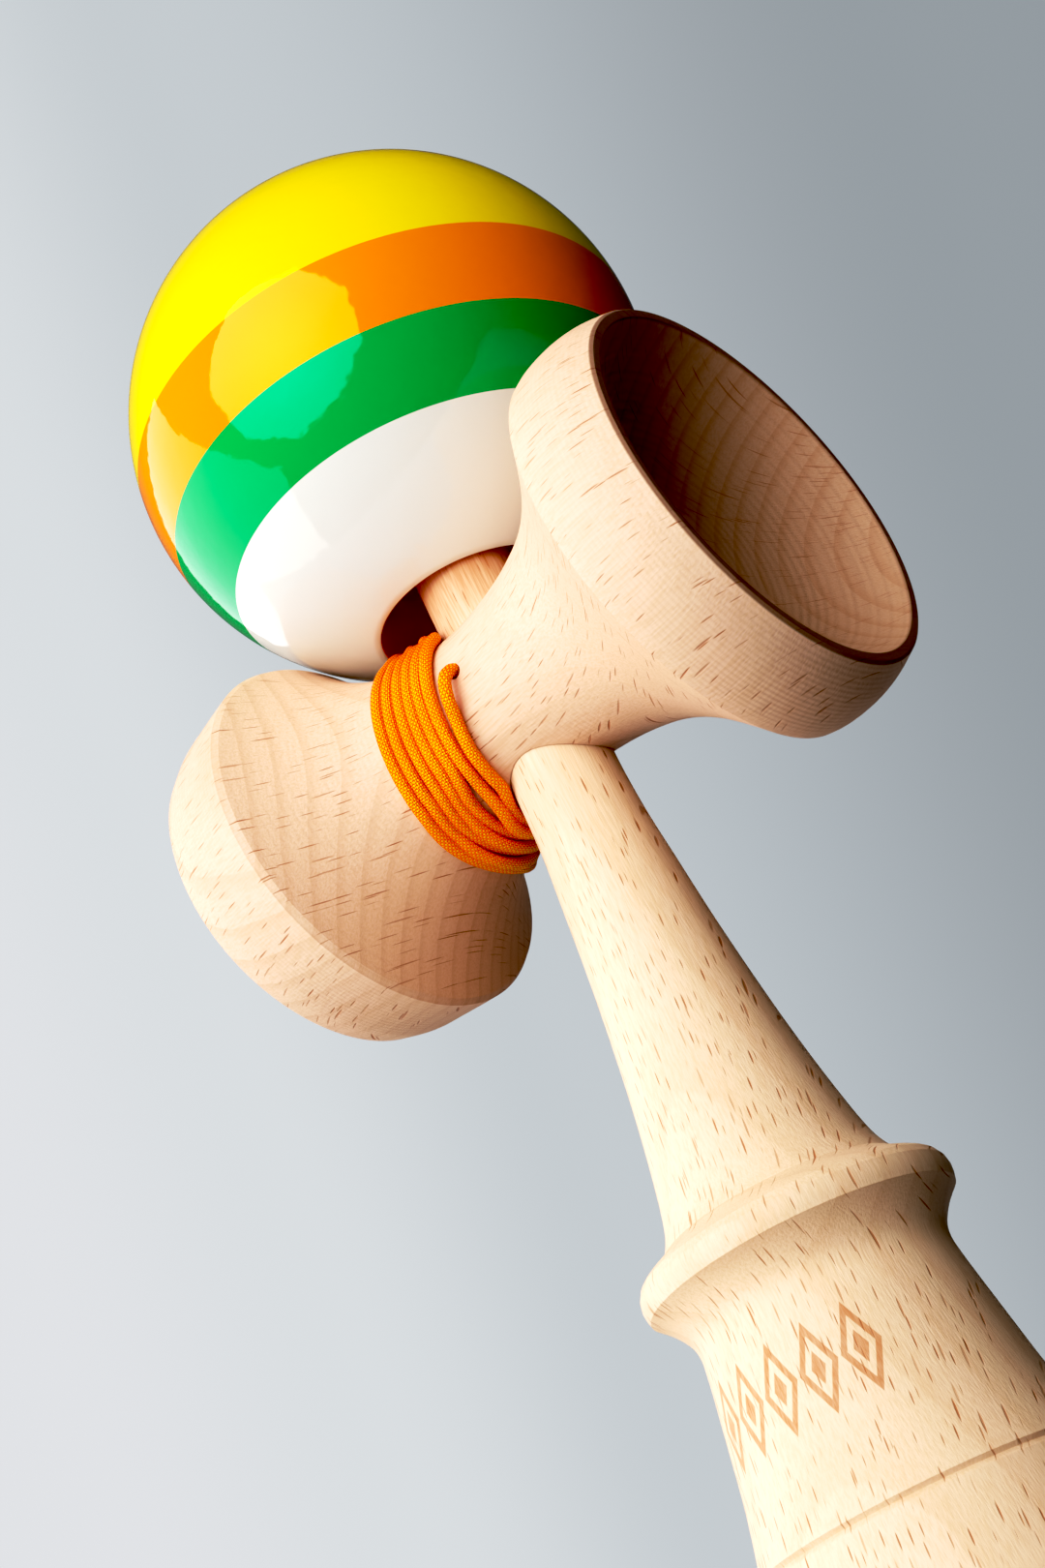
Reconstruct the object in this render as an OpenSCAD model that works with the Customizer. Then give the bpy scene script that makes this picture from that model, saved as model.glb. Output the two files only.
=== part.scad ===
// Kendama: a turned ken (handle, spike, finger flange and base cup), a sarado (crosspiece with
// two cups) that slides over the spike, a bored tama (ball) resting on it, and the string that ties them.
// Millimetres. Origin at the centre of the base cup's rim, +Z along the ken towards the spike,
// +X from the ken towards the big cup.

/* [Ken] */
// Height of the sarado's axis above the base rim
sarado_z = 107; // [100:0.5:112]
// Height of the spike's tip above the base rim
spike_tip_z = 160; // [152:0.5:168]
// Radius of the spike where it passes through the sarado
tenon_r = 5.3; // [4.5:0.05:6]
// Radius of the handle just under the sarado
shoulder_r = 5.65; // [5.4:0.05:7]
// Depth of the handle's shoulder below the sarado's axis
shoulder_drop = 5; // [3:0.5:8]
// Outer radius of the finger flange
flange_r = 15.85; // [13:0.05:18]
// Outer radius of the base cup's rim
base_rim_r = 17.6; // [15:0.1:20]
// Radius of the base cup's mouth
base_mouth_r = 16.2; // [14:0.1:18]
// Depth of the base cup
base_depth = 9; // [6:0.5:14]

/* [Sarado] */
// Distance from the ken's axis to the big cup's rim
big_rim_x = 35; // [30:0.5:38]
// Distance from the ken's axis to the small cup's rim
small_rim_x = 36.3; // [34.5:0.1:38]
// Outer radius of the big cup's rim
big_rim_r = 22.1; // [20:0.1:25]
// Outer radius of the small cup's rim
small_rim_r = 19.9; // [17:0.1:22]
// Width of both rims
rim_w = 1.2; // [0.8:0.1:3]
// Depth of the big cup
big_depth = 12.5; // [8:0.5:15]
// Depth of the small cup
small_depth = 10.5; // [7:0.5:13]
// Radius of the waist beside the ken
waist_r = 10.05; // [9:0.05:11.5]
// Radial clearance of the bore around the spike and the handle
bore_gap = 0.08; // [0.05:0.01:0.3]

/* [Tama] */
// Radius of the ball
tama_r = 30; // [28:0.5:31]
// Radius of the spike hole
hole_r = 11.3; // [10:0.1:12.5]
// Height of the spike hole's end above the ball's centre
hole_top = 14; // [13:0.5:18]
// Radius of the string hole at the ball's top
string_hole_r = 1.5; // [1.1:0.1:2.5]
// Ball's centre, left or right of the ken's axis
tama_x = -2.5; // [-4:0.1:4]
// Ball's centre, in front of or behind the ken's axis
tama_y = 5.2; // [-6:0.1:6]
// Ball's centre above the sarado's axis
tama_up = 42.3; // [42:0.1:50]
// Lean of the ball's axis about X
tama_lean_x = -1.6; // [-3:0.1:3]
// Lean of the ball's axis about Y
tama_lean_y = 1.4; // [-3:0.1:3]

/* [String] */
// Diameter of the braided string
string_d = 1.4; // [1:0.1:1.6]
// Width of the group of turns that lie side by side on the waist
group_w = 7.5; // [4:0.1:9]
// Middle of the group of turns, on the small cup's side
group_x = -8.2; // [-9:0.1:-7.5]
// Slant of the turns across the sarado, in degrees
slant = 9.4; // [0:0.1:12]
// Radius of the stop knot inside the sarado
sarado_knot_r = 1.35; // [1.1:0.05:1.5]
// Radius of the stop knot under the bead
tama_knot_r = 1.5; // [1.2:0.1:2]
// Outer radius of the bead
bead_r = 3.3; // [2.5:0.1:4]
// Height of the bead
bead_h = 5; // [3:0.5:7]

/* [Hidden] */
$fn = 60;

beech = [0.90, 0.76, 0.58];
lacquer = [0.95, 0.93, 0.88];
orange = [0.98, 0.42, 0.03];
bead_white = [0.88, 0.86, 0.80];

bore_r = tenon_r + bore_gap;
string_r = string_d / 2;
tama_centre = [tama_x, tama_y, sarado_z + tama_up];
tama_lean = [tama_lean_x, tama_lean_y, 0];
pocket_top = hole_top + bead_h + 1;

// Where the string leaves the sarado's front wall
string_hole_x = -0.2;
string_hole_up = 1.9;
string_hole_in_r = 0.75;
knot_seat_r = sarado_knot_r + 0.2;
knot_y = -7;

// Turned profile of the handle: [depth below the sarado's axis, radius]
handle = [
    [8.5, shoulder_r],
    [10, shoulder_r - 0.1],
    [12, shoulder_r - 0.15],
    [17, 5.7],
    [24, 6.3],
    [31, 6.9],
    [38, 7.65],
    [44, 8.4],
    [49, 9.15],
    [53, 9.85],
    [56, 10.45],
    [58, 11],
    [59.2, 11.55],
    [60.1, 12.4],
    [60.8, 13.6],
    [61.4, 14.7],
    [62, 15.4],
    [63, flange_r - 0.1],
    [64, flange_r],
    [65, 15.35],
    [66, 14.4],
    [67, 13.55],
    [68.2, 12.95],
    [69.5, 12.75],
    [71, 12.93],
    [73, 13.25],
    [76, 13.75],
    [79, 14.2],
    [83, 14.9],
    [87, 15.75],
    [89.1, 16.2],
    [89.5, 15.95],
    [89.9, 16.35],
    [95, 17.3],
    [100, 18],
    [103.5, 18.2],
    [106, 18]
];

// Outside of the spike above the sarado: [height above the base rim, radius]
spike = [
    [spike_tip_z - 35, tenon_r],
    [spike_tip_z - 25, tenon_r - 0.35],
    [spike_tip_z - 15, tenon_r - 0.95],
    [spike_tip_z - 7, tenon_r - 2],
    [spike_tip_z - 2.5, 2.2],
    [spike_tip_z - 0.7, 1.3],
    [spike_tip_z, 0.5]
];

// Outside of the sarado on the small cup's side: [distance from the ken's axis, radius]
small_side = [
    [4, 10.2],
    [8, 10.75],
    [11, 11.5],
    [13, 12.2],
    [15, 13.2],
    [17, 14.5],
    [19, 16.05],
    [21, 17.95],
    [23, 20.15],
    [24.3, 21.8],
    [24.8, 22.2],
    [25.6, 22.2],
    [28, 21.85],
    [31, 21.4],
    [34, 20.75]
];

// Outside of the sarado on the big cup's side
big_side = [
    [4, 10.4],
    [8, 11.1],
    [11, 11.95],
    [13, 12.7],
    [15, 13.75],
    [17, 15.15],
    [19, 16.9],
    [21, 19],
    [23, 21.4],
    [24, 22.75],
    [24.6, 23.25],
    [25.6, 23.5],
    [27.5, 23.65],
    [29.5, 23.55],
    [32, 23.1],
    [33.8, 22.6]
];

// Routes of the string's free parts: hand-placed points in millimetres, with heights above the
// sarado's axis. The tail comes out of the sarado's front wall and makes one turn beside the group.
tail_route = [
    [-0.2, -7.4, 1.9],
    [-0.2, -9.6, 1.9],
    [-0.6, -10.95, 1.2],
    [-1.5, -11, -1.2],
    [-2.6, -9.95, -4.6],
    [-3.6, -7.8, -7.8],
    [-5.1, -4.3, -10.4],
    [-6.75, 0, -11.5],
    [-5.6, 4.3, -10.4],
    [-5.6, 8.2, -7.7],
    [-5.5, 10.7, -3.5],
    [-5.1, 11.1, 1.5],
    [-4.5, 9.7, 5.6],
    [-3.8, 6.6, 9.1],
    [-5.2, 4.2, 10.5],
    [-6.6, 0.8, 11.4],
    [-5.4, -4.2, 10.5],
    [-4.7, -5.7, 9.7]
];

// The lead goes from the far end of the group round the back of the ball and down to the bead
lead_route = [
    [-14.8, 14, 0.5],
    [-14.7, 14.1, 4.6],
    [-14.1, 15.9, 9.6],
    [-12.9, 20, 14.6],
    [-11.5, 25.6, 19.6],
    [-9.8, 31.2, 26],
    [-8, 34.9, 34.5],
    [-6.4, 35.9, 44],
    [-5, 33.7, 53.9],
    [-3.7, 28.4, 62.9],
    [-2.8, 21.4, 69],
    [-2.2, 14.4, 72.5],
    [-1.9, 11.3, 73.7],
    [-1.8, 8.8, 74.1],
    [-1.75, 6.9, 73.3],
    [-1.77, 6.1, 71.3],
    [-1.85, 5.9, 68.5],
    [-1.95, 5.84, 65],
    [-2.15, 5.6, 56.4]
];

// Radius of the sphere that makes a bowl of the given mouth radius and depth
function bowl_r(mouth, depth) = (mouth * mouth + depth * depth) / (2 * depth);

// Points of a bowl's wall from its mouth to its middle, in [distance from the mouth, radius]
function bowl(mouth, depth, steps) = let (r = bowl_r(mouth, depth))
    [for (k = [0:steps])
        let (a = asin(mouth / r) * (1 - k / steps))
        [r * cos(a) - r + depth, r * sin(a)]];

// Outline of the ken in [radius, height]
function ken_outline() = concat(
    [for (p = back(bowl(base_mouth_r, base_depth, 10))) [p[1], p[0]]],
    [[base_rim_r - 0.5, 0], [base_rim_r, 0.4]],
    [for (p = back(handle)) [p[1], sarado_z - p[0]]],
    [[shoulder_r, sarado_z - shoulder_drop], [tenon_r, sarado_z - shoulder_drop]],
    [for (p = spike) [p[1], p[0]]],
    [[0, spike_tip_z]]);

// Outline of the sarado in [radius, distance towards the big cup]
function sarado_outline() = concat(
    [for (p = back(bowl(small_rim_r - rim_w, small_depth, 12))) [p[1], p[0] - small_rim_x]],
    [[small_rim_r - 0.3, -small_rim_x], [small_rim_r, 0.3 - small_rim_x]],
    [for (p = back(small_side)) [p[1], -p[0]]],
    [[waist_r, 0]],
    [for (p = big_side) [p[1], p[0]]],
    [[big_rim_r, big_rim_x - 0.3], [big_rim_r - 0.3, big_rim_x]],
    [for (p = bowl(big_rim_r - rim_w, big_depth, 12)) [p[1], big_rim_x - p[0]]]);

// A list in reverse order
function back(list) = [for (k = [len(list) - 1:-1:0]) list[k]];

// Radius of the sarado's outside on the small cup's side, for the string to lie on
function side_r(x) = lookup(x, concat([[0, waist_r]], small_side));

function unit(v) = v / norm(v);

// Point between b and c on a smooth curve through a, b, c and d
function spline(a, b, c, d, t) = 0.5 * (2 * b + (c - a) * t
    + (2 * a - 5 * b + 4 * c - d) * t * t + (3 * b - a - 3 * c + d) * t * t * t);

// Smooth centre line through the route, with the given number of steps in each stretch
function centres(p, steps) = concat(
    [for (i = [0:len(p) - 2], k = [0:steps - 1])
        spline(p[max(i - 1, 0)], p[i], p[i + 1], p[min(i + 2, len(p) - 1)], k / steps)],
    [p[len(p) - 1]]);

// Direction of the centre line at each of its points
function headings(c) = [for (i = [0:len(c) - 1])
    unit(c[min(i + 1, len(c) - 1)] - c[max(i - 1, 0)])];

// Sideways directions carried along the centre line without twist
function sideways(h) = [for (i = 0, s = unit(cross(h[0], [0.3, 0.5, 0.81]));
    i < len(h);
    i = i + 1, s = i < len(h) ? unit(s - h[i] * (s * h[i])) : s) s];

// A round cord along a route, made of eight-sided rings
module cord(route, r, steps) {
    sides = 8;
    c = centres(route, steps);
    h = headings(c);
    s = sideways(h);
    n = len(c);
    points = [for (i = [0:n - 1], k = [0:sides - 1])
        let (a = 360 * k / sides)
        c[i] + r * (cos(a) * s[i] + sin(a) * cross(h[i], s[i]))];
    ends = [c[0], c[n - 1]];
    walls = [for (i = [0:n - 2], k = [0:sides - 1], half = [0:1])
        let (k2 = (k + 1) % sides, a = i * sides, b = a + sides)
        half == 0 ? [a + k, b + k, a + k2] : [a + k2, b + k, b + k2]];
    first = [for (k = [0:sides - 1]) [k, (k + 1) % sides, n * sides]];
    last = [for (k = [0:sides - 1])
        [(n - 1) * sides + (k + 1) % sides, (n - 1) * sides + k, n * sides + 1]];
    polyhedron(concat(points, ends), concat(walls, first, last));
}

module at_sarado() {
    translate([0, 0, sarado_z]) children();
}

module at_tama() {
    translate(tama_centre) rotate(tama_lean) children();
}

module ken() {
    color(beech) rotate_extrude() polygon(ken_outline());
}

module sarado() {
    color(beech) difference() {
        at_sarado() rotate([0, 90, 0]) rotate_extrude() polygon(sarado_outline());
        translate([0, 0, sarado_z - 20]) cylinder(r = bore_r, h = 40);
        translate([0, 0, sarado_z - 20]) cylinder(r = shoulder_r + bore_gap, h = 20 - shoulder_drop);
        translate([string_hole_x, 0, sarado_z + string_hole_up]) rotate([90, 0, 0])
            cylinder(r = string_hole_in_r, h = 20);
        translate([string_hole_x, 0, sarado_z + string_hole_up]) rotate([90, 0, 0])
            cylinder(r = knot_seat_r, h = -knot_y + sarado_knot_r);
    }
}

module tama() {
    color(lacquer) at_tama() difference() {
        sphere(r = tama_r, $fn = 96);
        translate([0, 0, -tama_r - 1]) cylinder(r = hole_r, h = tama_r + 1 + hole_top);
        cylinder(r = bead_r + 0.4, h = pocket_top);
        cylinder(r = string_hole_r, h = tama_r + 1);
    }
}

module bead() {
    color(bead_white) at_tama() translate([0, 0, pocket_top - 0.2 - bead_h]) difference() {
        cylinder(r = bead_r, h = bead_h);
        translate([0, 0, -1]) cylinder(r = string_r, h = bead_h + 2);
    }
}

// The side-by-side turns as one sleeve on the waist, cut slantwise, with room beside the ken for
// the turn that passes there
module string_winding() {
    lay = 0.05;
    stations = [for (x = [2.5:0.5:14.5]) x];
    color(orange) difference() {
        intersection() {
            at_sarado() rotate([0, -90, 0]) rotate_extrude() polygon(concat(
                [for (x = stations) [side_r(x) + lay, x]],
                [for (x = back(stations)) [side_r(x) + lay + string_d, x]]));
            at_sarado() translate([group_x, 0, 0]) rotate(a = slant, v = [0, 0.574, 0.819])
                cube([group_w, 40, 40], center = true);
        }
        translate([0, 0, sarado_z - 20]) cylinder(r = shoulder_r + string_d + 0.35, h = 40);
    }
}

module string_lead() {
    color(orange) at_sarado() cord(lead_route, string_r, 4);
}

module string_tail() {
    color(orange) at_sarado() cord(tail_route, string_r, 4);
}

module sarado_knot() {
    color(orange) translate([string_hole_x, knot_y, sarado_z + string_hole_up])
        sphere(r = sarado_knot_r, $fn = 24);
}

module tama_knot() {
    color(orange) at_tama() translate([0, 0, pocket_top - 0.2 - bead_h - tama_knot_r])
        sphere(r = tama_knot_r, $fn = 24);
}

ken();
sarado();
tama();
bead();
string_winding();
string_lead();
string_tail();
sarado_knot();
tama_knot();
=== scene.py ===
"""A kendama: turned beech ken and sarado, lacquered tama, and an orange braided string.

Everything is in metres in the CAD model's frame: origin at the centre of the base cup's rim, +Z along the ken.
Profiles and routes are written in millimetres and scaled by MM, like the CAD model they repeat.
"""

import math

import bmesh
import bpy
import numpy as np
from mathutils import Matrix, Vector


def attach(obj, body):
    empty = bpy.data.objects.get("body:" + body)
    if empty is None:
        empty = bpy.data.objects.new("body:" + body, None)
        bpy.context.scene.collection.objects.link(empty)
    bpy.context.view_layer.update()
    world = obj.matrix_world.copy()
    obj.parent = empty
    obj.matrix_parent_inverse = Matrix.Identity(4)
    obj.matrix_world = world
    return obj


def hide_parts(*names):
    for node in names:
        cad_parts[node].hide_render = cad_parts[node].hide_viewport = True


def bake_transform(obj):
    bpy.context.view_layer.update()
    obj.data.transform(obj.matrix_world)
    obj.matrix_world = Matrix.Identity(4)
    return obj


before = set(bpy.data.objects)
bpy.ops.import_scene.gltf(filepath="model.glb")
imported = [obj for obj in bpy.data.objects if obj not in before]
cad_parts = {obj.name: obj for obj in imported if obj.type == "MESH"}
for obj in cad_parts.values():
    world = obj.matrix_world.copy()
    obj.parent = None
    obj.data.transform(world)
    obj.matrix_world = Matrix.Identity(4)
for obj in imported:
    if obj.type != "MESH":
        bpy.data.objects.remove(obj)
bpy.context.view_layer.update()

MM = 0.001
SARADO_Z = 107.0
SHOULDER_Z, SPIKE_TOP = 102.0, 160.0
SHOULDER_R, TENON_R, BORE_GAP = 5.65, 5.3, 0.08
SARADO = Vector((0, 0, SARADO_Z * MM))
TAMA = Vector((-2.5, 5.2, 149.3)) * MM
TAMA_TURN = Matrix.Rotation(math.radians(1.4), 4, "Y") @ Matrix.Rotation(math.radians(-1.6), 4, "X")

# ---------------------------------------------------------------------------------------------
# Camera: low beside the base, looking up past the ken with a strong roll
# ---------------------------------------------------------------------------------------------
camera_data = bpy.data.cameras.new("camera")
camera_data.sensor_fit = "VERTICAL"
camera_data.sensor_height = 36.0
camera_data.lens = 53.33
camera_data.clip_start = 0.005
camera = bpy.data.objects.new("camera", camera_data)
right = Vector((0.650598, 0.647742, -0.396425))
up = Vector((0.578313, -0.084246, 0.811453))
back = Vector((0.492215, -0.757187, -0.429408))
stand = Matrix.Translation((0.113792, -0.182986, -0.004343))
camera.matrix_world = stand @ Matrix((right, up, back)).transposed().to_4x4()
bpy.context.scene.collection.objects.link(camera)
bpy.context.scene.camera = camera


# ---------------------------------------------------------------------------------------------
# Curves and meshes
# ---------------------------------------------------------------------------------------------
def spline(points, step):
    """Points step apart along a smooth curve through points."""
    p = np.array(points, float)
    p = np.vstack([2 * p[0] - p[1], p, 2 * p[-1] - p[-2]])
    knots = np.concatenate([[0], np.cumsum(np.sqrt(np.linalg.norm(np.diff(p, axis=0), axis=1)))])
    out = []
    for i in range(1, len(p) - 2):
        t0, t1, t2, t3 = knots[i - 1 : i + 3]
        n = max(1, round(np.linalg.norm(p[i + 1] - p[i]) / step))
        for t in np.linspace(t1, t2, n, endpoint=False):
            a1 = (t1 - t) / (t1 - t0) * p[i - 1] + (t - t0) / (t1 - t0) * p[i]
            a2 = (t2 - t) / (t2 - t1) * p[i] + (t - t1) / (t2 - t1) * p[i + 1]
            a3 = (t3 - t) / (t3 - t2) * p[i + 1] + (t - t2) / (t3 - t2) * p[i + 2]
            b1 = (t2 - t) / (t2 - t0) * a1 + (t - t0) / (t2 - t0) * a2
            b2 = (t3 - t) / (t3 - t1) * a2 + (t - t1) / (t3 - t1) * a3
            out.append((t2 - t) / (t2 - t1) * b1 + (t - t1) / (t2 - t1) * b2)
    out.append(p[-2])
    return np.array(out)


def outline(*runs, step=0.6):
    """One outline from runs of (radius, height): each run is smooth, and runs meet at a corner."""
    parts = []
    for run in runs:
        smooth = spline(run, step) if len(run) > 2 else np.array(run, float)
        if parts and np.linalg.norm(parts[-1][-1] - smooth[0]) < 1e-6:
            smooth = smooth[1:]
        parts.append(smooth)
    return np.vstack(parts)


def new_object(name, mesh):
    """A new object in the scene with that mesh."""
    piece = bpy.data.objects.new(name, mesh)
    bpy.context.scene.collection.objects.link(piece)
    return piece


def lathe(name, points, around, place, corner_deg=35):
    """Turns an outline of (radius, height) in millimetres into a closed solid about local Z, then puts it in place."""
    bm = bmesh.new()
    rings = []
    for r, z in points:
        if r < 1e-6:
            rings.append([bm.verts.new((0, 0, z * MM))])
            continue
        angles = (2 * math.pi * k / around for k in range(around))
        rings.append([bm.verts.new((r * MM * math.cos(a), r * MM * math.sin(a), z * MM)) for a in angles])
    closed = len(rings[0]) > 1
    for a, b in zip(rings, rings[1:] + (rings[:1] if closed else [])):
        for k in range(around):
            k2 = (k + 1) % around
            corners = [a[k % len(a)], a[k2 % len(a)], b[k2 % len(b)], b[k % len(b)]]
            corners = list(dict.fromkeys(corners))
            if len(corners) > 2:
                bm.faces.new(corners)
    bmesh.ops.recalc_face_normals(bm, faces=bm.faces)
    bm.transform(place)
    mesh = bpy.data.meshes.new(name)
    bm.to_mesh(mesh)
    bm.free()
    piece = new_object(name, mesh)
    sharpen(piece, corner_deg)
    return piece


def sharpen(piece, corner_deg):
    """Smooth shading, with the edges above that angle kept crisp."""
    bm = bmesh.new()
    bm.from_mesh(piece.data)
    for f in bm.faces:
        f.smooth = True
    for e in bm.edges:
        e.smooth = len(e.link_faces) == 2 and e.calc_face_angle(0) < math.radians(corner_deg)
    bm.to_mesh(piece.data)
    bm.free()


def cut(piece, *cutters):
    """Takes the cutters out of the piece and deletes them."""
    for cutter in cutters:
        modifier = piece.modifiers.new("cut", "BOOLEAN")
        modifier.object = cutter
        modifier.solver = "EXACT"
        bpy.context.view_layer.update()
        cut_mesh = bpy.data.meshes.new_from_object(piece.evaluated_get(bpy.context.evaluated_depsgraph_get()))
        piece.modifiers.clear()
        piece.data = cut_mesh
        bpy.data.objects.remove(cutter)


def bowl(mouth, depth, count=20):
    """Wall of a bowl from its mouth to its middle: (radius, distance from the mouth)."""
    r = (mouth * mouth + depth * depth) / (2 * depth)
    a = math.asin(mouth / r)
    return [(r * math.sin(a * k / count), r * math.cos(a * k / count) - r + depth) for k in range(count, -1, -1)]


def tube(name, path, radius, sides):
    """A round tube along path, with UVs: U once round, V in millimetres along."""
    path = np.array(path)
    heading = np.gradient(path, axis=0)
    heading /= np.linalg.norm(heading, axis=1)[:, None]
    side = np.cross(heading[0], (0.3, 0.5, 0.81))
    side /= np.linalg.norm(side)
    along = np.concatenate([[0], np.cumsum(np.linalg.norm(np.diff(path, axis=0), axis=1))])
    bm = bmesh.new()
    uv = bm.loops.layers.uv.new("braid")
    rings = []
    for p, h in zip(path, heading):
        side = side - h * np.dot(side, h)
        side /= np.linalg.norm(side)
        other = np.cross(h, side)
        angles = (2 * math.pi * k / sides for k in range(sides))
        rings.append([bm.verts.new((p + radius * (math.cos(a) * side + math.sin(a) * other)) * MM) for a in angles])
    for i in range(len(rings) - 1):
        for k in range(sides):
            k2 = (k + 1) % sides
            f = bm.faces.new((rings[i][k], rings[i][k2], rings[i + 1][k2], rings[i + 1][k]))
            f.smooth = True
            for loop, (u, v) in zip(f.loops, ((k, i), (k + 1, i), (k + 1, i + 1), (k, i + 1))):
                loop[uv].uv = (u / sides, along[v])
    bm.faces.new(rings[0][::-1])
    bm.faces.new(rings[-1])
    mesh = bpy.data.meshes.new(name)
    bm.to_mesh(mesh)
    bm.free()
    return new_object(name, mesh), along[-1]


# ---------------------------------------------------------------------------------------------
# String: from its knot in the sarado, once round beside the ken, six turns side by side on the
# waist, then behind the ball and down through its top to the knot under the bead. EXIT and LEAD
# are (x, y, height over the sarado's axis); SMALL_SIDE is (distance towards the small cup, radius
# of the wood there), and TURN_X is (degrees round, x)
# ---------------------------------------------------------------------------------------------
STRING_R = 0.7
ON_SARADO, BY_KEN = STRING_R + 0.05, STRING_R + 0.1  # from the string's centre to the wood it lies against
NECK_R = 5.6  # the ken's radius under the sarado
SLANT, SLANT_FROM = 1.9, math.radians(235)  # how far each turn leans along the sarado
TURN_STEP, RIDE_UP = 0.98, 0.8  # the turns' spacing and rise where they press together beside the ken
SQUEEZED_Y = 9.0  # how far to each side of the ken they do
SMALL_SIDE = [(0, 10.05), (4, 10.2), (8, 10.75), (11, 11.5), (13, 12.2), (15, 13.2), (17, 14.5), (19, 16.05),
              (21, 17.95), (23, 20.15), (24.3, 21.8)]
TURN_X = [(172, -2.1), (180, -2.6), (195, -3.35), (211, -3.75), (245, -3.85), (300, -3.85), (360, -3.9),
          (420, -4.3), (480, -5.0), (570, -5.3), (930, -6.6), (1290, -7.9), (1650, -9.25), (2010, -10.65),
          (2370, -12.0), (2435, -12.2), (2520, -13.1)]


def soft_min(a, b, blend=0.35):
    """The smaller of a and b, rounded off where they are about the same."""
    return -blend * math.log(math.exp(-a / blend) + math.exp(-b / blend))


def turn_point(degrees):
    """Centre of the string at that many degrees round the sarado, in millimetres from its middle."""
    a = math.radians(degrees)
    x = float(np.interp(degrees, *zip(*TURN_X))) - SLANT * math.sin(a - SLANT_FROM)
    r = float(np.interp(-x, *zip(*SMALL_SIDE))) + ON_SARADO
    y = r * math.cos(a)
    # Beside the ken the turns are pushed off it and against each other, every other one riding up a little;
    # past counts the passes beside the ken before this one
    half_turns = (degrees - 270) / 180
    past = max(0.0, math.floor(half_turns / 2) + 2 * max(0.0, half_turns / 2 % 1 - 0.5))
    ken_r = (TENON_R if math.sin(a) > 0 else NECK_R) + BY_KEN
    if abs(y) < ken_r:
        x = soft_min(x, -math.sqrt(ken_r * ken_r - y * y) - TURN_STEP * past)
        r = float(np.interp(-x, *zip(*SMALL_SIDE))) + ON_SARADO
        r += RIDE_UP * (round(past) % 2) * (1 - (y / ken_r) ** 2)
    if math.sin(a) < 0 and abs(y) < SQUEEZED_Y and past >= 1:
        x += (-ken_r - TURN_STEP * round(past) - x) * (1 - (y / SQUEEZED_Y) ** 2)
    return (x, r * math.cos(a), SARADO_Z + r * math.sin(a))


LEAD = [(-14.7, 14.1, 4.6), (-14.1, 15.9, 9.6), (-12.9, 20, 14.6), (-11.5, 25.6, 19.6), (-9.8, 31.2, 26),
        (-8, 34.9, 34.5), (-6.4, 35.9, 44), (-5, 33.7, 53.9), (-3.7, 28.4, 62.9), (-2.8, 21.4, 69), (-2.2, 14.8, 72.7),
        (-1.9, 11.8, 74), (-1.8, 9.1, 74.5), (-1.77, 7.2, 73.8), (-1.77, 6.15, 72.1), (-1.8, 5.87, 69.8),
        (-1.95, 5.84, 65), (-2.15, 5.6, 56.4)]
EXIT = [(-0.2, -7.4, 1.9), (-0.2, -8.9, 2.2), (-0.25, -10.2, 2.1), (-0.55, -11.4, 1.15), (-1.1, -11.6, -0.6)]
route = [(x, y, SARADO_Z + z) for x, y, z in EXIT]
route += [turn_point(a) for a in range(195, 2521, 9)]
route += [(x, y, SARADO_Z + z) for x, y, z in LEAD]
string_path = spline(route, 0.4)
string, string_length = tube("string", string_path, STRING_R, 12)
print("string length, mm:", round(string_length, 1))


def stop_knot(name, centre, radius):
    """A small overhand knot pulled tight: a short closed trefoil of string."""
    points = []
    for k in range(61):
        t = 2 * math.pi * k / 60
        q = Vector((math.sin(t) + 2 * math.sin(2 * t), math.cos(t) - 2 * math.cos(2 * t), -1.2 * math.sin(3 * t)))
        points.append(np.array(q) * radius * 0.19 + np.array(centre))
    return tube(name, points, radius * 0.44, 10)[0]


sarado_knot = stop_knot("sarado_stop_knot", (-0.2, -7.0, SARADO_Z + 1.9), 1.35)
tama_knot = stop_knot("tama_stop_knot", TAMA_TURN.to_3x3() @ Vector((0, 0, 13.3)) + TAMA / MM, 1.5)

# ---------------------------------------------------------------------------------------------
# Ken: base cup, groove, barrel, finger flange, tapering handle, shoulder and spike
# ---------------------------------------------------------------------------------------------
KEN_BARREL = [(17.6, 0.5), (18, 2), (18.2, 4), (18, 7), (17.35, 12), (16.95, 14.5), (16.45, 17)]
KEN_UPPER = [(16.35, 17.9), (15.8, 20), (14.9, 24), (14.2, 28), (13.7, 31), (13.2, 34), (12.9, 36), (12.75, 37.5),
             (12.95, 38.8), (13.6, 40), (14.55, 41.2), (15.6, 42.2)]
KEN_FLANGE = [(15.6, 42.2), (15.78, 42.85), (15.85, 43.5), (15.72, 44.3), (15.3, 45.05), (14.4, 45.7), (13.2, 46.3),
              (11.95, 47.1)]
KEN_NECK = [(11.95, 47.1), (11.5, 47.9), (11, 49), (10.45, 51), (9.85, 54), (9.15, 58), (8.4, 63), (7.65, 69),
            (6.9, 76), (6.3, 83), (5.8, 89), (NECK_R, 94), (NECK_R, 97), (SHOULDER_R, SHOULDER_Z)]
KEN_SPIKE = [(TENON_R, SHOULDER_Z), (TENON_R, 125), (4.95, 135), (4.35, 145), (3.3, 153), (2.2, 157.5), (1.3, 159.3),
             (0, SPIKE_TOP)]
BASE_CUP = bowl(16.2, 9)[::-1]
GROOVE_Z = 17.5
GROOVE = [(16.45, 17), (16.28, 17.25), (16.1, 17.45), (16.2, 17.68), (16.35, 17.9)]

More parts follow.
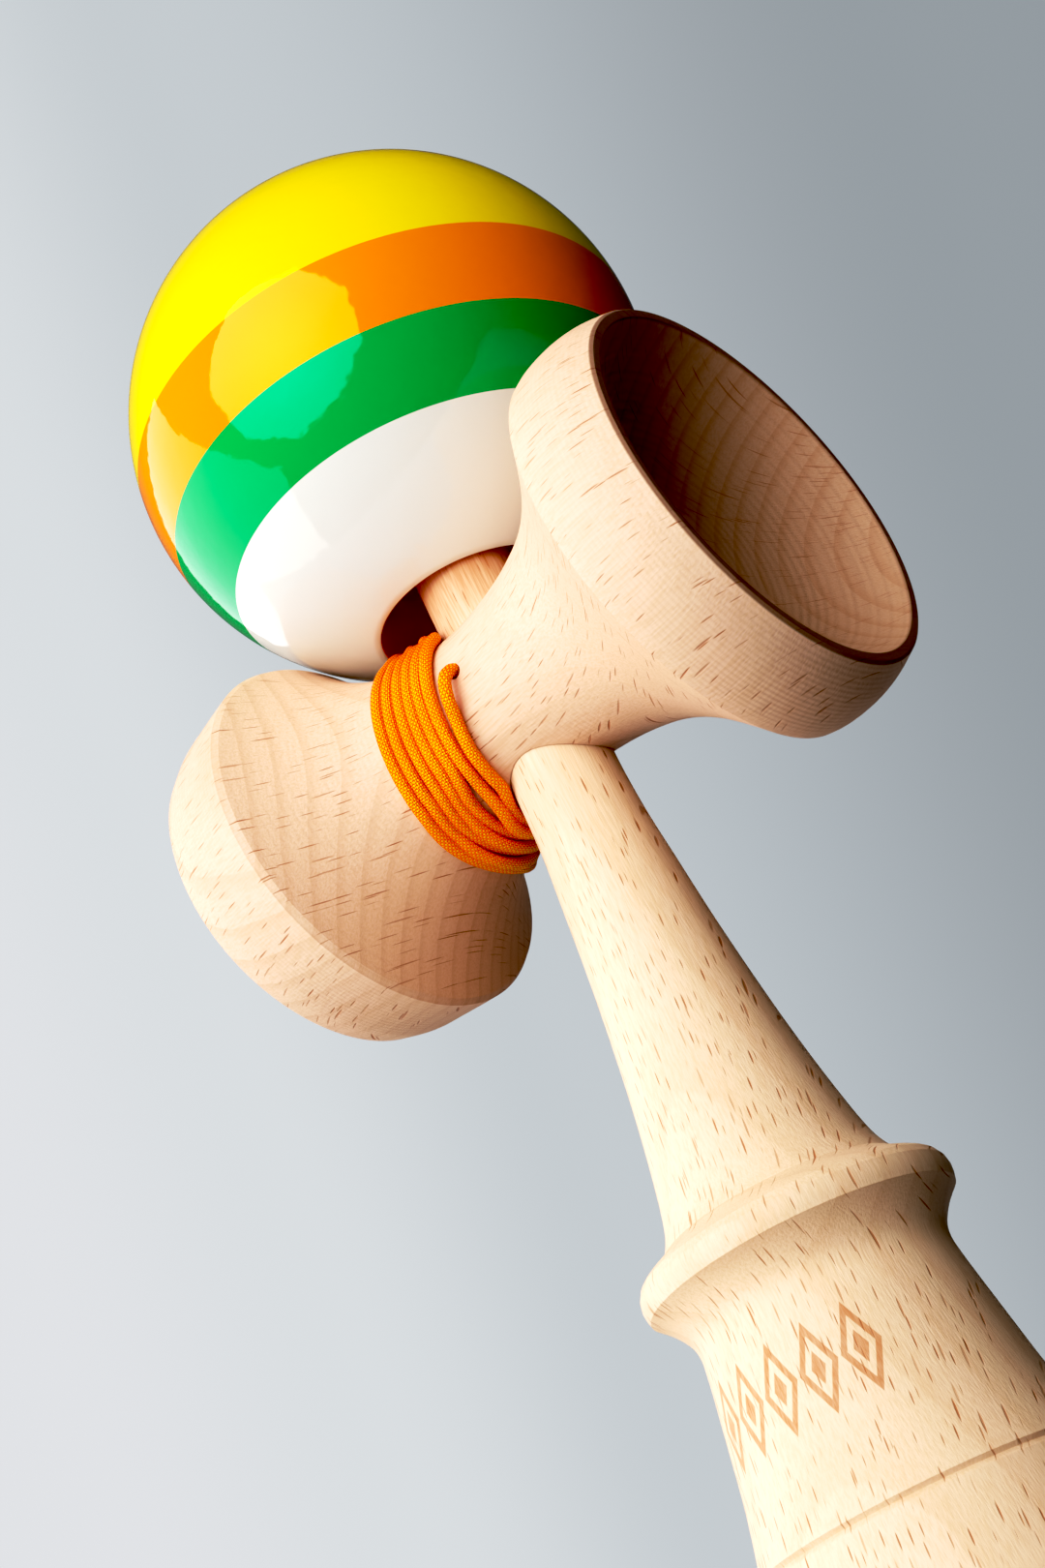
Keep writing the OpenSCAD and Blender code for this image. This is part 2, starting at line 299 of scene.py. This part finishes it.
ken = lathe("ken", outline(BASE_CUP, [(16.2, 0), (17.1, 0)], [(17.1, 0), (17.6, 0.5)], KEN_BARREL,
                           *zip(GROOVE, GROOVE[1:]), KEN_UPPER, KEN_FLANGE, KEN_NECK,
                           [(SHOULDER_R, SHOULDER_Z), (TENON_R, SHOULDER_Z)], KEN_SPIKE),
            192, Matrix.Identity(4), 20)

# ---------------------------------------------------------------------------------------------
# Sarado: two flared cups turned about X, bored for the spike and drilled for the string
# ---------------------------------------------------------------------------------------------
SMALL_FLARE = [(22.2, -25.1), (21.95, -27), (21.5, -30), (21, -33), (19.9, -36)]
BIG_SIDE = [(10.4, 4), (11.1, 8), (11.95, 11), (12.7, 13), (13.75, 15), (15.15, 17), (16.9, 19), (19, 21),
            (21.35, 23), (23.2, 24.5)]
BIG_FLARE = [(23.2, 24.5), (23.5, 25.7), (23.65, 27.4), (23.55, 29.8), (23.05, 32.2), (22.1, 34.7)]
flank = [(r, -x) for x, r in SMALL_SIDE[::-1]] + BIG_SIDE
SMALL_RIM_X, SMALL_MOUTH_R, SMALL_DEPTH = -36.3, 18.7, 10.5
BIG_RIM_X, BIG_MOUTH_R, BIG_DEPTH = 35.0, 20.9, 12.5
small_bowl = [(r, SMALL_RIM_X + d) for r, d in bowl(SMALL_MOUTH_R, SMALL_DEPTH)]
big_bowl = [(r, BIG_RIM_X - d) for r, d in bowl(BIG_MOUTH_R, BIG_DEPTH)]

small_rim = [(SMALL_MOUTH_R, SMALL_RIM_X), (19.6, SMALL_RIM_X)]
big_rim = [(21.8, BIG_RIM_X), (BIG_MOUTH_R, BIG_RIM_X)]

sarado = lathe("sarado", outline(small_bowl[::-1], small_rim, [small_rim[-1], SMALL_FLARE[-1]], SMALL_FLARE[::-1],
                                 [SMALL_FLARE[0], (21.8, -24.3)], flank, BIG_FLARE, [BIG_FLARE[-1], big_rim[0]],
                                 big_rim, big_bowl),
               192, Matrix.Translation(SARADO) @ Matrix.Rotation(math.pi / 2, 4, "Y"))
seat_r, bore_r = SHOULDER_R + BORE_GAP, TENON_R + BORE_GAP
bore = lathe("bore", [(0, 85), (seat_r, 85), (seat_r, SHOULDER_Z), (bore_r, SHOULDER_Z), (bore_r, 125), (0, 125)],
             96, Matrix.Identity(4))
# The string's hole: wide in the middle for the knot, narrow where the string comes out
string_hole = lathe("string_hole", [(0, 0), (1.5, 0), (1.5, 8.35), (0.8, 8.35), (0.8, 20), (0, 20)], 32,
                    Matrix.Translation((-0.2 * MM, 0, SARADO.z + 1.9 * MM)) @ Matrix.Rotation(math.pi / 2, 4, "X"))
cut(sarado, bore, string_hole)
sharpen(sarado, 20)

# ---------------------------------------------------------------------------------------------
# Tama: lacquered ball with the spike hole, the bead's pocket and the string hole on one axis
# ---------------------------------------------------------------------------------------------
BALL_R, HOLE_R, HOLE_TOP = 30.0, 11.3, 14
POCKET_R, POCKET_TOP, STRING_HOLE_R = 3.7, 20, 1.5
hole_edge = math.degrees(math.asin((HOLE_R + 0.35) / BALL_R)) - 90
tip_edge = 90 - math.degrees(math.asin(1.8 / BALL_R))
shell = [(BALL_R * math.cos(math.radians(a)), BALL_R * math.sin(math.radians(a)))
         for a in np.linspace(hole_edge, tip_edge, 110)]
bored = [(STRING_HOLE_R, 29.6), (STRING_HOLE_R, POCKET_TOP), (POCKET_R, POCKET_TOP), (POCKET_R, HOLE_TOP),
         (HOLE_R, HOLE_TOP), (HOLE_R, -27.3)]
tama = lathe("tama", outline([(HOLE_R, -27.3), (HOLE_R + 0.1, -27.55), shell[0]], shell,
                             [shell[-1], (1.6, 29.85), bored[0]], *zip(bored, bored[1:]), step=1.0),
             192, Matrix.Translation(TAMA) @ TAMA_TURN, 50)

# The bead that the ball turns on: rounded ends and a hole for the string
bead = lathe("bead_turned", outline([(0.75, 15.1), (1.1, 14.8), (2.6, 14.8), (3.2, 15.3), (3.3, 16.4), (3.3, 18.2),
                                     (3.2, 19.3), (2.6, 19.8), (1.1, 19.8), (0.75, 19.5)], [(0.75, 19.5), (0.75, 15.1)],
                                    step=0.2),
             48, Matrix.Translation(TAMA) @ TAMA_TURN, 60)


# ---------------------------------------------------------------------------------------------
# Materials
# ---------------------------------------------------------------------------------------------
class Shader:
    """The node tree of a material, light or world, built by small calls that return output sockets."""

    def __init__(self, name, owner=None):
        """A new material of that name, or the nodes of owner, a light or a world."""
        self.material = owner or bpy.data.materials.new(name)
        self.material.use_nodes = True
        self.tree = self.material.node_tree
        self.bsdf = self.tree.nodes.get("Principled BSDF")

    def link(self, value, socket):
        """Feeds a socket from another node's output or with a plain value."""
        if isinstance(value, bpy.types.NodeSocket):
            self.tree.links.new(value, socket)
        else:
            socket.default_value = value

    def node(self, kind, output=0, inputs=(), **settings):
        """Adds a node and returns one of its outputs."""
        n = self.tree.nodes.new("ShaderNode" + kind)
        for key, value in settings.items():
            setattr(n, key, value)
        for key, value in dict(inputs).items():
            self.link(value, n.inputs[key])
        return n.outputs[output]

    def math(self, operation, a, b=0.0):
        return self.node("Math", inputs={0: a, 1: b}, operation=operation)

    def vector(self, operation, a, b=(0, 0, 0), output=0):
        return self.node("VectorMath", output, {0: a, 1: b}, operation=operation)

    def scale(self, a, factors):
        return self.vector("MULTIPLY", a, factors)

    def noise(self, position, detail, rough=0.5):
        """Smooth noise that changes over a distance of about 1 in position."""
        return self.node("TexNoise", "Fac", {"Vector": position, "Scale": 1.0, "Detail": detail, "Roughness": rough})

    def step(self, value, low, high, to_low=0.0, to_high=1.0):
        """Smooth step of value between low and high."""
        return self.node("MapRange", "Result", {"Value": value, "From Min": low, "From Max": high, "To Min": to_low,
                                                "To Max": to_high}, interpolation_type="SMOOTHSTEP")

    def mix(self, factor, a, b):
        """Colour a where factor is 0 and b where it is 1."""
        n = self.tree.nodes.new("ShaderNodeMix")
        n.data_type = "RGBA"
        for value, socket in ((factor, n.inputs[0]), (a, n.inputs[6]), (b, n.inputs[7])):
            self.link(value, socket)
        return n.outputs[2]

    def ramp(self, value, low, high, stops):
        """Colour by value, from low to high: stops are (value, (r, g, b)) with linear colours."""
        n = self.tree.nodes.new("ShaderNodeValToRGB")
        n.color_ramp.interpolation = "EASE"
        self.link(self.node("MapRange", "Result", {"Value": value, "From Min": low, "From Max": high}), n.inputs[0])
        elements = n.color_ramp.elements
        while len(elements) < len(stops):
            elements.new(0.5)
        for element, (at, colour) in zip(elements, stops):
            element.position = (at - low) / (high - low)
            element.color = (*colour, 1.0)
        return n.outputs[0]

    def bump(self, height, distance):
        """Bump from height, which is 1 where the surface stands out by that many metres."""
        n = self.tree.nodes.new("ShaderNodeBump")
        n.inputs["Strength"].default_value = 1.0
        n.inputs["Distance"].default_value = distance
        self.link(height, n.inputs["Height"])
        self.link(n.outputs[0], self.bsdf.inputs["Normal"])

    def set(self, **inputs):
        """Links or sets the shader's own sockets."""
        names = {"color": "Base Color", "roughness": "Roughness", "ior": "IOR", "specular": "Specular IOR Level",
                 "gloss": "Specular Tint", "subsurface": "Subsurface Weight", "subsurface_scale": "Subsurface Scale",
                 "glow_color": "Emission Color", "glow": "Emission Strength"}
        for key, value in inputs.items():
            self.link(value, self.bsdf.inputs[names[key]])


def rgb(r, g, b):
    """Linear colour from 0-255 screen values."""
    linear = [c / 255 / 12.92 if c < 10.3 else ((c / 255 + 0.055) / 1.055) ** 2.4 for c in (r, g, b)]
    return (*linear, 1.0)


def position_mm(s, centre=(0, 0, 0)):
    """The point on the object in millimetres from centre, carried with the piece."""
    place = s.node("TexCoord", "Object")
    return s.scale(s.vector("SUBTRACT", place, tuple(centre)), (1000, 1000, 1000))


def components(s, v):
    """The X, Y and Z of a vector."""
    n = s.tree.nodes.new("ShaderNodeSeparateXYZ")
    s.link(v, n.inputs[0])
    return n.outputs


def combine(s, x, y, z):
    """A vector of that X, Y and Z."""
    return s.node("CombineXYZ", inputs={0: x, 1: y, 2: z})


def beech(name, grain, pith, ring_mm, ring_depth, ray_mm, seed, tone):
    """Bare beech: growth rings about the pith, fine fibres, and the short brown flecks of its rays.
    grain is the piece's axis along the fibres; pith is the tree's middle, in millimetres across the grain;
    ring_depth is a number, or a function that makes the depth from the shader and x, y and z."""
    s = Shader(name)
    p = position_mm(s, SARADO if grain == "X" else (0, 0, 0))
    x, y, z = components(s, p)
    across, upward, along = (y, z, x) if grain == "X" else (x, y, z)
    if callable(ring_depth):
        ring_depth = ring_depth(s, x, y, z)
    wander = s.noise(s.vector("ADD", s.scale(p, (0.03, 0.03, 0.03)), (seed, 0, 0)), 2)
    from_pith = s.math("SUBTRACT", across, pith[0]), s.math("SUBTRACT", upward, pith[1])
    radial = s.vector("LENGTH", combine(s, *from_pith, 0.0), output="Value")
    bearing = s.math("ARCTAN2", from_pith[1], from_pith[0])
    tangential = s.math("MULTIPLY", bearing, math.hypot(*pith))
    ring = s.math("FRACT", s.math("DIVIDE", s.math("ADD", radial, s.math("MULTIPLY", wander, 1.6)), ring_mm))
    late = s.math("MULTIPLY", s.step(ring, 0.5, 0.96), s.step(ring, 1.0, 0.96))
    fibre_place = combine(s, s.math("MULTIPLY", radial, 5.0), s.math("MULTIPLY", tangential, 5.0),
                          s.math("MULTIPLY", along, 0.22))
    fibre = s.noise(fibre_place, 3, 0.6)
    broad = s.noise(combine(s, s.math("MULTIPLY", across, 0.12), s.math("MULTIPLY", upward, 0.12),
                            s.math("MULTIPLY", along, 0.02)), 2)

    def flecks(size, thick, long, offset, share):
        """Thin lens-shaped rays, one in each cell: size is the spacing across, round the rings and along."""
        q = s.vector("ADD", combine(s, s.math("DIVIDE", radial, size[0]), s.math("DIVIDE", tangential, size[1]),
                                    s.math("DIVIDE", along, size[2])), (offset, seed, offset * 1.7))
        cell = s.tree.nodes.new("ShaderNodeTexVoronoi")
        cell.inputs["Scale"].default_value = 1.0
        cell.inputs["Randomness"].default_value = 0.85
        s.link(q, cell.inputs["Vector"])
        dx, dy, dz = components(s, s.vector("SUBTRACT", q, cell.outputs["Position"]))
        chance, bold, _ = components(s, cell.outputs["Color"])
        reach = s.vector("LENGTH", combine(s, s.math("DIVIDE", dx, 0.42), s.math("DIVIDE", dy, thick / size[1]),
                                           s.math("DIVIDE", dz, long / size[2])), output="Value")
        lens = s.step(reach, 1.0, 0.55)
        chosen = s.math("LESS_THAN", chance, share)
        strength = s.math("ADD", 0.5, s.math("MULTIPLY", bold, 0.5))
        return s.math("MULTIPLY", s.math("MULTIPLY", lens, chosen), strength)

    rays = s.math("MAXIMUM", flecks((5.5, 0.85, 2.3), ray_mm, 0.95, 0.0, 0.9),
                  flecks((8.0, 1.5, 3.6), 1.4 * ray_mm, 1.4, 5.3, 0.75))

    light, dark, latewood, brown = (rgb(*(min(255, c * t) for c, t in zip(base, tone))) for base in (
        (240, 206, 176), (231, 193, 158), (206, 158, 118), (164, 92, 44)))
    base = s.mix(s.step(fibre, 0.35, 0.7), light, dark)
    base = s.mix(s.math("MULTIPLY", s.step(broad, 0.35, 0.7), 0.2), base, dark)
    base = s.mix(s.math("MULTIPLY", late, ring_depth), base, latewood)
    base = s.mix(s.math("MULTIPLY", rays, 0.85), base, brown)
    return s, base, dict(x=x, y=y, z=z, fibre=fibre, rays=rays)


def finish_wood(s, base, height):
    """Bare, finely sanded wood with that colour and relief."""
    s.set(color=base, roughness=0.62, specular=0.35)
    s.bump(height, 0.00006)
    return s.material


def big_bowl_inside(s, x, y, z):
    """The distance from the sarado's axis, and 1 inside the big cup's bowl."""
    radius = s.vector("LENGTH", combine(s, y, z, 0.0), output="Value")
    bottom = BIG_RIM_X - BIG_DEPTH
    return radius, s.math("MULTIPLY", s.step(x, bottom - 0.1, bottom + 0.3),
                          s.math("LESS_THAN", radius, BIG_MOUTH_R + 0.05))


def sarado_rings(s, x, y, z):
    """Rings show on the small cup's side and in the big bowl, and hardly on the outside of the big cup."""
    return s.math("MAXIMUM", s.step(x, -2, 10, 0.3, 0.07), s.math("MULTIPLY", big_bowl_inside(s, x, y, z)[1], 0.42))


# Sarado: the big cup's rim is darkened by burnishing, its bowl keeps fine turning marks, and the inside of its bowl is
# painted darker as shade
s, base, part = beech("beech_sarado", "X", (48, -12), 2.2, sarado_rings, 0.05, 3.1, (0.985, 0.945, 0.94))
radius, inside = big_bowl_inside(s, part["x"], part["y"], part["z"])
rim = s.math("MULTIPLY", s.step(part["x"], BIG_RIM_X - 0.45, BIG_RIM_X - 0.2),
             s.step(radius, BIG_MOUTH_R - 0.2, BIG_MOUTH_R + 0.05))
turning = s.math("SINE", s.math("MULTIPLY", radius, 9.0))
# Painted shade: the inside of the big bowl is painted a darker brown
base = s.mix(s.math("MULTIPLY", s.step(part["x"], 20, 24), s.math("MULTIPLY", inside, 0.45)), base, rgb(176, 122, 84))
base = s.mix(s.math("MULTIPLY", rim, 0.75), base, rgb(104, 62, 38))
height = s.math("ADD", s.math("MULTIPLY", part["fibre"], 0.8), s.math("MULTIPLY", part["rays"], -0.6))
height = s.math("ADD", height, s.math("MULTIPLY", s.math("MULTIPLY", turning, inside), 0.25))
TOOL_MARK_STEP = 0.55
tool_marks = s.math("SINE", s.math("MULTIPLY", part["x"], 2 * math.pi / TOOL_MARK_STEP))
height = s.math("ADD", height, s.math("MULTIPLY", tool_marks, 0.1))
sarado.data.materials.append(finish_wood(s, base, height))

# Ken: a darker groove, painted shade of the ball on the spike, and a burnt-in row of plain lozenges on the barrel
s, base, part = beech("beech_ken", "Z", (-8, 61), 3.4, 0.2, 0.07, 11.7, (1.0, 0.99, 0.97))
groove = s.math("MULTIPLY", s.step(s.math("ABSOLUTE", s.math("SUBTRACT", part["z"], GROOVE_Z)), 0.5, 0.15), 0.15)
base = s.mix(groove, base, rgb(150, 98, 60))
# Painted shade: the spike grows browner above the sarado, where the ball shades it, with a ragged edge along the fibres
BROWN_FROM, BROWN_TO, RAGGED = 109, 126, 14.0
ragged = s.math("ADD", part["z"], s.math("MULTIPLY", s.math("SUBTRACT", part["fibre"], 0.5), RAGGED))
painted_ball_shade = s.step(ragged, BROWN_FROM, BROWN_TO, 0.0, 0.8)
base = s.mix(painted_ball_shade, base, rgb(182, 108, 56))
# The row goes round the ken at height ROW_Z, with its middle at ROW_DEG
LOZENGES, LOZENGE_DEG, LOZENGE_HIGH, ROW_Z, ROW_DEG = 5, 17.0, 4.6, 30.2, -88.5
bearing = s.math("MULTIPLY", s.math("ARCTAN2", part["y"], part["x"]), 180 / math.pi)
place = s.math("DIVIDE", s.math("SUBTRACT", bearing, ROW_DEG - LOZENGES * LOZENGE_DEG / 2), LOZENGE_DEG)
in_row = s.math("MULTIPLY", s.math("GREATER_THAN", place, 0.0), s.math("LESS_THAN", place, float(LOZENGES)))
aside = s.math("MULTIPLY", s.math("ABSOLUTE", s.math("SUBTRACT", s.math("FRACT", place), 0.5)), 2.0)
above = s.math("DIVIDE", s.math("ABSOLUTE", s.math("SUBTRACT", part["z"], ROW_Z)), LOZENGE_HIGH)
lozenge = s.math("ADD", aside, above)
burnt = s.math("SUBTRACT", s.step(lozenge, 0.95, 0.91), s.math("SUBTRACT", s.step(lozenge, 0.66, 0.62),
                                                              s.step(lozenge, 0.36, 0.32)))
scorch = s.math("MULTIPLY", s.math("MULTIPLY", burnt, in_row), s.step(part["fibre"], 0.2, 0.8, 0.6, 0.85))
base = s.mix(scorch, base, rgb(176, 104, 52))
height = s.math("ADD", s.math("MULTIPLY", part["fibre"], 0.8), s.math("MULTIPLY", part["rays"], -0.6))
ken.data.materials.append(finish_wood(s, base, height))

# Tama: four glossy lacquer zones by height over its middle, and bare wood in the hole
LACQUER_ZONES = ((-17.34, rgb(0, 156, 76), (0.0, 0.75, 0.5, 1)), (-8.81, rgb(255, 134, 0), (1.0, 0.9, 0.1, 1)),
                 (0.84, rgb(255, 217, 0), (1.0, 0.9, 0.0, 1)))
s = Shader("lacquer_zones")
spot = position_mm(s)
axis = TAMA_TURN.to_3x3() @ Vector((0, 0, 1))
rise = s.vector("DOT_PRODUCT", s.vector("SUBTRACT", spot, tuple(TAMA / MM)), tuple(axis), output="Value")
reach = s.vector("LENGTH", s.vector("SUBTRACT", spot, tuple(TAMA / MM)), output="Value")
colour, gloss = rgb(228, 228, 220), (0.8, 0.8, 0.8, 1)
for height_mm, zone, zone_gloss in LACQUER_ZONES:
    above = s.step(rise, height_mm - 0.04, height_mm + 0.04)
    colour, gloss = s.mix(above, colour, zone), s.mix(above, gloss, zone_gloss)
bare = s.step(reach, BALL_R - 0.15, BALL_R - 0.3)
streaks = s.noise(s.scale(spot, (2.2, 2.2, 0.15)), 3)
colour = s.mix(bare, colour, s.mix(streaks, rgb(250, 120, 70), rgb(255, 150, 96)))
s.set(color=colour, roughness=s.math("ADD", 0.05, s.math("MULTIPLY", bare, 0.6)), specular=0.9, gloss=gloss)
s.bump(s.noise(s.scale(spot, (0.35, 0.35, 0.35)), 2), 0.00004)
tama.data.materials.append(s.material)

# String: a fine round braid of orange yarns with yellow picks
BRAID_YARNS, BRAID_PITCH = 9, 0.56
s = Shader("orange_braid")
u, v, _ = components(s, s.node("UVMap", uv_map="braid"))
turn = s.math("MULTIPLY", u, 2 * math.pi * BRAID_YARNS)
run = s.math("MULTIPLY", v, 2 * math.pi / BRAID_PITCH)
left_lay = s.math("SINE", s.math("ADD", turn, run))
right_lay = s.math("SINE", s.math("SUBTRACT", turn, run))
pick = s.math("MULTIPLY", s.step(left_lay, -0.4, 0.5), s.step(right_lay, -0.4, 0.5))
weave = s.math("MULTIPLY", left_lay, right_lay)
colour = s.mix(s.step(weave, -0.8, 0.4), rgb(255, 58, 0), rgb(255, 100, 0))
colour = s.mix(pick, colour, rgb(255, 186, 0))
s.set(color=colour, roughness=0.27, ior=1.75, specular=1.0, gloss=(1.0, 0.9, 0.0, 1))
s.bump(weave, 0.00005)
for piece in (string, sarado_knot, tama_knot):
    piece.data.materials.append(s.material)

# Bead: turned off-white plastic with faint marks of the tool
s = Shader("bead_plastic")
spot = position_mm(s)
marks = s.noise(s.scale(spot, (0.4, 0.4, 6)), 2)
s.set(color=s.mix(marks, rgb(222, 218, 206), rgb(240, 236, 226)), roughness=0.3, subsurface=0.1, subsurface_scale=0.001)
s.bump(marks, 0.00003)
bead.data.materials.append(s.material)

# ---------------------------------------------------------------------------------------------
# Which body each piece rides on
# ---------------------------------------------------------------------------------------------
for piece, body, slot, *nodes in ((ken, "ken", "beech", "ken"), (sarado, "sarado", "beech", "sarado"),
                                  (tama, "tama", "lacquered_wood", "tama"),
                                  (bead, "bead_carrier", "bead_plastic", "bead"),
                                  (sarado_knot, "sarado", "braid", "sarado_knot"),
                                  (tama_knot, "bead_carrier", "braid", "tama_knot")):
    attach(piece, body)
    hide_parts(*nodes)
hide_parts("string_winding", "string_tail", "string_lead")
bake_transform(string)

# ---------------------------------------------------------------------------------------------
# Studio: pale floor, pale backdrop that darkens to one side, and soft boxes
# ---------------------------------------------------------------------------------------------
# The floor ends close in front of the object: the camera stands outside its edge, at its level, and looks up
floor_mesh = bpy.data.meshes.new("floor")
floor_mesh.from_pydata([(-0.7, -0.1, 0), (1.5, -0.1, 0), (1.5, 1.8, 0), (-0.7, 1.8, 0)], [], [(0, 1, 2, 3)])
floor = new_object("floor", floor_mesh)
floor.visible_diffuse = False
pale_grey = rgb(214, 217, 222)
s = Shader("pale_floor")
s.set(color=pale_grey, roughness=0.8, glow_color=pale_grey, glow=0.2)
floor.data.materials.append(s.material)

# Both the backdrop and the dim light of the room fall off away from BRIGHT; AHEAD is behind the object
BRIGHT = (-0.818, -0.571, 0.069)
AHEAD = (-0.492, 0.757, 0.429)


def backdrop_colour(s, heading, tint=(1, 1, 1)):
    """The backdrop's colour in that direction."""
    toward = s.vector("DOT_PRODUCT", heading, BRIGHT, output="Value")
    stops = [(-1.0, (0.03, 0.03, 0.035)), (-0.26, (0.34, 0.37, 0.395)), (0.04, (0.57, 0.61, 0.64)),
             (0.17, (0.72, 0.76, 0.79)), (0.29, (0.79, 0.81, 0.85)), (1.0, (0.85, 0.86, 0.88))]
    return s.ramp(toward, -1.0, 1.0, [(at, tuple(c * t for c, t in zip(colour, tint))) for at, colour in stops])


world = bpy.data.worlds.new("studio")
bpy.context.scene.world = world
s = Shader("studio", world)
room = s.tree.nodes["Background"].inputs
s.link(backdrop_colour(s, s.node("TexCoord", "Generated"), (0.92, 0.95, 1.0)), room["Color"])
room["Strength"].default_value = 0.22

# The backdrop is a pale dome, seen directly but neither lighting the object nor shading it
DOME_R = 3.0
bm = bmesh.new()
bmesh.ops.create_uvsphere(bm, u_segments=48, v_segments=24, radius=DOME_R)
dome_mesh = bpy.data.meshes.new("backdrop")
bm.to_mesh(dome_mesh)
bm.free()
dome = new_object("backdrop", dome_mesh)
dome.visible_diffuse = dome.visible_glossy = dome.visible_shadow = False
s = Shader("backdrop")
heading = s.vector("NORMALIZE", s.node("TexCoord", "Object"))
ahead = s.vector("DOT_PRODUCT", heading, AHEAD, output="Value")
pale = s.mix(s.step(ahead, 0.6, 0.88), (0.6, 0.62, 0.65, 1), backdrop_colour(s, heading))
s.link(s.node("Emission", inputs={"Color": pale}), s.tree.nodes["Material Output"].inputs["Surface"])
dome.data.materials.append(s.material)


def soft_box(name, direction, distance, size, power, upright=(0, 0, 1), octagon=False):
    """A soft light of that size in metres, facing the ball from direction, with its height along upright.
    An octagon has its corners cut off and is brighter in the middle."""
    data = bpy.data.lights.new(name, "AREA")
    data.shape = "RECTANGLE"
    data.size, data.size_y = size
    data.energy = power
    light = bpy.data.objects.new(name, data)
    away = Vector(direction).normalized()
    across = Vector(upright).cross(away).normalized()
    axes = Matrix((across, away.cross(across), away)).transposed().to_4x4()
    light.matrix_world = Matrix.Translation(TAMA + away * distance) @ axes
    bpy.context.scene.collection.objects.link(light)
    if octagon:
        s = Shader(name, data)
        from_middle = s.vector("SUBTRACT", s.node("NewGeometry", "Parametric"), (0.5, 0.5, 0))
        u, v, _ = components(s, s.vector("ABSOLUTE", from_middle))
        edge = s.math("MAXIMUM", s.math("MAXIMUM", u, v), s.math("MULTIPLY", s.math("ADD", u, v), 0.7071))
        s.link(s.math("MULTIPLY", s.step(edge, 0.5, 0.485), s.step(edge, 0.5, 0.0, 0.9, 1.3)),
               s.tree.nodes["Emission"].inputs["Strength"])
    return light


soft_box("key", (0.06, -0.96, 0.26), 0.9, (1.12, 1.12), 21.0, octagon=True)
soft_box("side_panel", (-0.93, -0.3, -0.1), 0.7, (0.9, 1.3), 9.6, upright=(-0.54, 0.42, 0.73))
# Light for the back of the object, left out of what the camera and the gloss see
back_fill = soft_box("back_fill", AHEAD, 1.0, (1.2, 1.2), 5.0)
back_fill.visible_camera = back_fill.visible_glossy = False

# Tone curve: deep shadows and softened highlights
BLACK_LEVEL, WHITE_SHOWN = 0.045, 0.88
TONE = ((0.17, 0.142), (0.36, 0.358), (0.7, 0.695))
view = bpy.context.scene.view_settings
view.view_transform = "Standard"
view.use_curve_mapping = True
view.curve_mapping.black_level = (BLACK_LEVEL,) * 3
tone = view.curve_mapping.curves[3]
for value, shown in TONE:
    tone.points.new(value, shown)
tone.points[-1].location = (1.0, WHITE_SHOWN)
view.curve_mapping.update()
